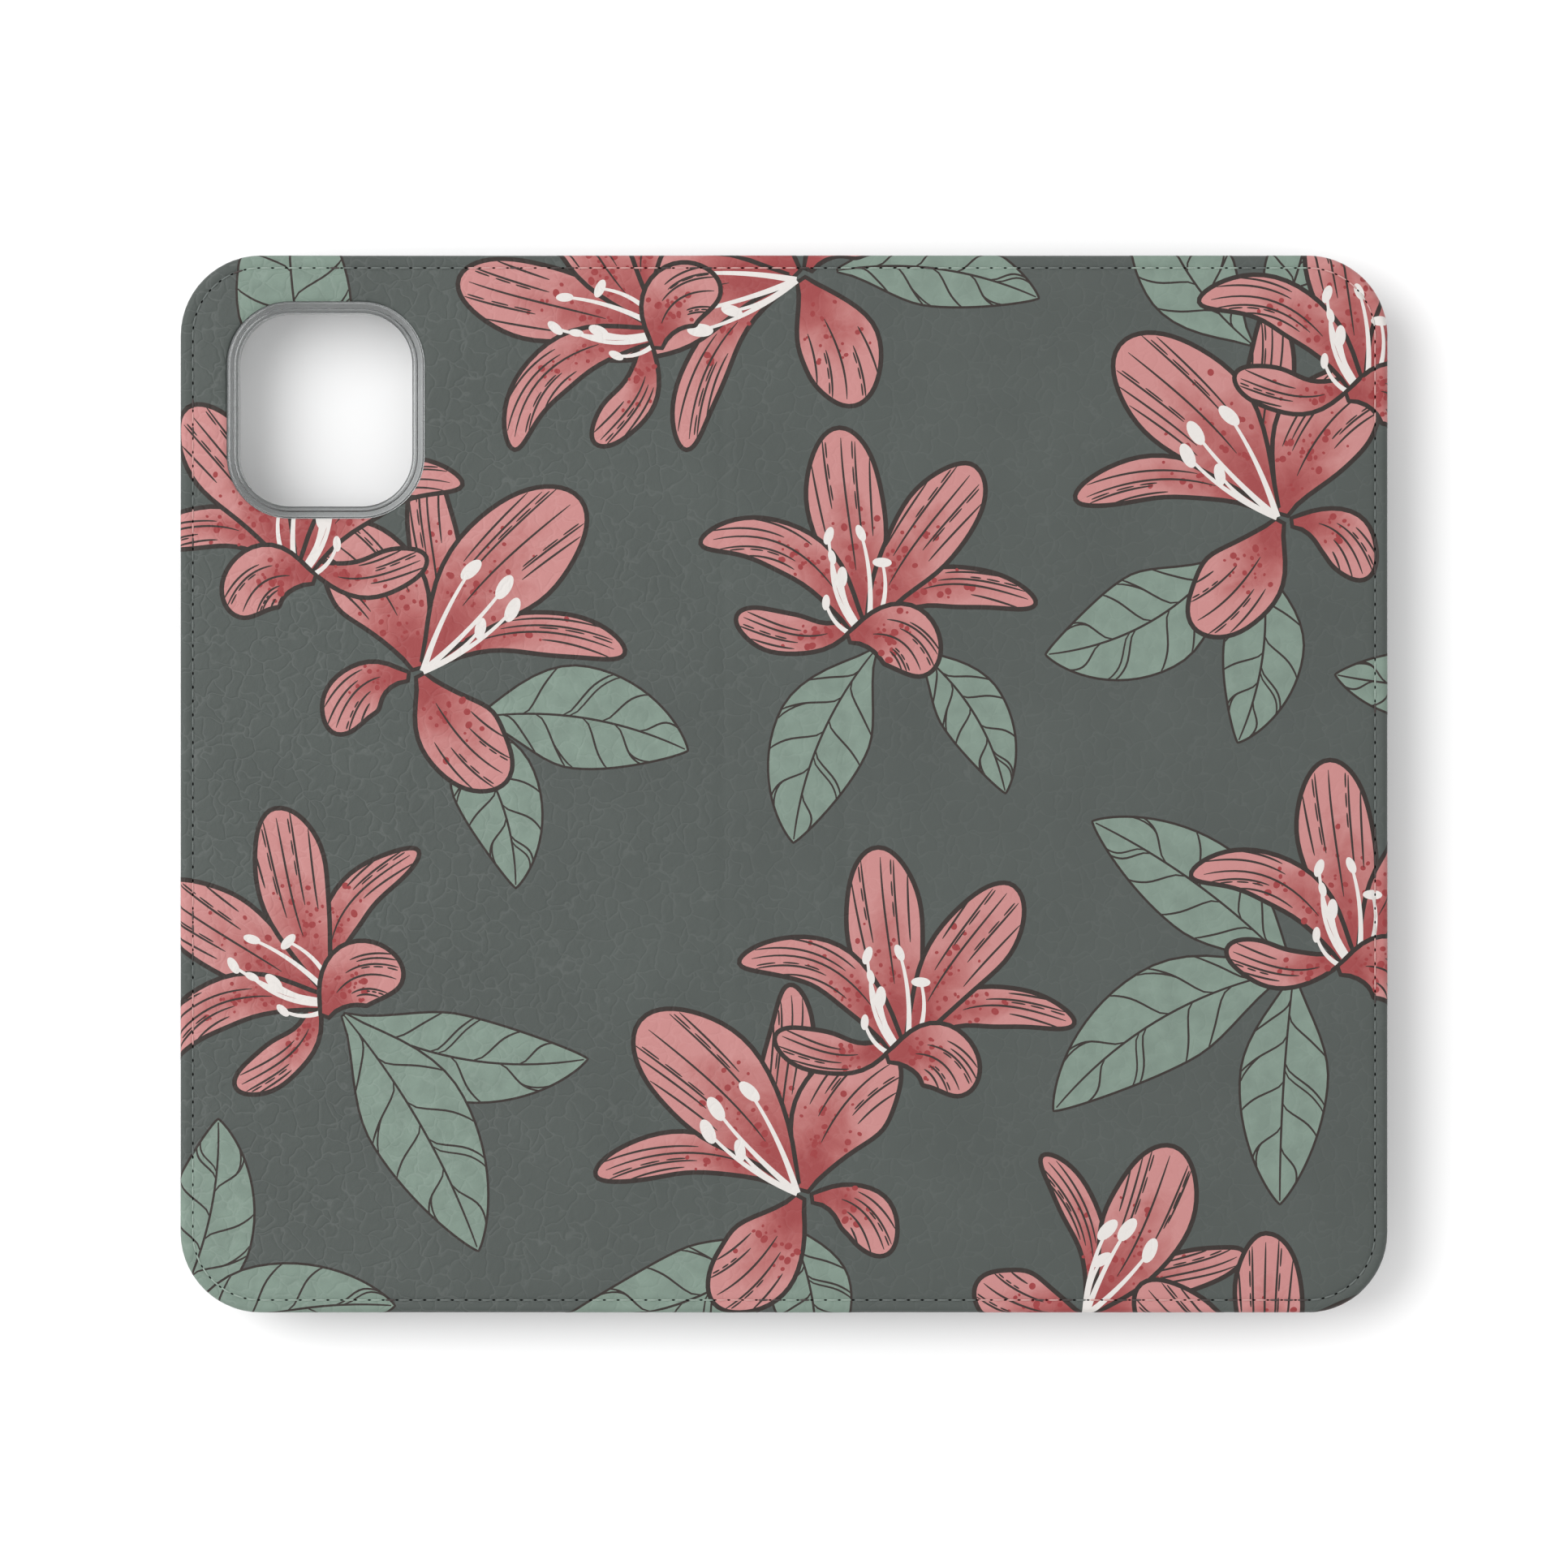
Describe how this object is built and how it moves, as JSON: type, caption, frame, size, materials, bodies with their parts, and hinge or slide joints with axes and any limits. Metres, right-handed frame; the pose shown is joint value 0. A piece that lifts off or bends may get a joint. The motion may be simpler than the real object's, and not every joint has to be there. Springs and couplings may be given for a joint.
{
  "type": "folio phone case",
  "caption": "Folding folio case with a clear phone tray under its back cover, a soft spine and a flap with card and cash pockets.",
  "frame": {"origin": "middle of the case's outline, on the plane that the tray's rim stands on, with the case opened flat and its outside up", "axes": "+X from the back cover across the spine to the front flap, +Y towards the phone's top edge, +Z out of the case's outside face"},
  "size_m": [0.181, 0.1586, 0.0135],
  "materials": {
    "back_skin": "satin, fine pebble grain, printed with a lily and leaf pattern",
    "back_board": "uncoated fibreboard",
    "back_keeper_upper": "thin plated steel",
    "back_keeper_lower": "thin plated steel",
    "back_lining": "short microfibre nap",
    "tray_bond": "soft adhesive sheet",
    "phone_tray": "clear moulded plastic, polished",
    "back_thread": "fine polyester thread",
    "spine_skin": "satin, fine pebble grain, printed with a lily and leaf pattern",
    "spine_board": "uncoated card strip",
    "spine_lining": "short microfibre nap",
    "spine_thread_top": "fine polyester thread",
    "spine_thread_bottom": "fine polyester thread",
    "front_skin": "satin, fine pebble grain, printed with a lily and leaf pattern",
    "front_board": "uncoated fibreboard",
    "flap_magnet_upper": "plated flat magnet",
    "flap_magnet_lower": "plated flat magnet",
    "front_lining": "short microfibre nap",
    "cash_pocket": "satin, fine pebble grain, plain",
    "card_pocket_upper": "satin, fine pebble grain, plain",
    "card_pocket_middle": "satin, fine pebble grain, plain",
    "card_pocket_lower": "satin, fine pebble grain, plain",
    "cash_thread": "fine polyester thread",
    "card_thread": "fine polyester thread",
    "front_thread": "fine polyester thread"
  },
  "bodies": {
    "back_cover": {"back_skin": "back_skin", "back_board": "back_board", "back_keeper_upper": "back_keeper_upper", "back_keeper_lower": "back_keeper_lower", "back_lining": "back_lining", "tray_bond": "tray_bond", "phone_tray": "phone_tray", "back_thread": "back_thread"},
    "spine": {"spine_skin": "spine_skin", "spine_board": "spine_board", "spine_lining": "spine_lining", "spine_thread_top": "spine_thread_top", "spine_thread_bottom": "spine_thread_bottom"},
    "front_flap": {"front_skin": "front_skin", "front_board": "front_board", "flap_magnet_upper": "flap_magnet_upper", "flap_magnet_lower": "flap_magnet_lower", "front_lining": "front_lining", "cash_pocket": "cash_pocket", "card_pocket_upper": "card_pocket_upper", "card_pocket_middle": "card_pocket_middle", "card_pocket_lower": "card_pocket_lower", "cash_thread": "cash_thread", "card_thread": "card_thread", "front_thread": "front_thread"}
  },
  "joints": [
    {"name": "spine_fold", "type": "hinge", "parent": "back_cover", "child": "spine", "pos_m": [-0.0091, 0, 0.01255], "axis": [0, 1, 0], "range_deg": [-90, 90]},
    {"name": "flap_fold", "type": "hinge", "parent": "spine", "child": "front_flap", "pos_m": [0.0091, 0, 0.01255], "axis": [0, 1, 0], "range_deg": [-90, 90]}
  ]
}
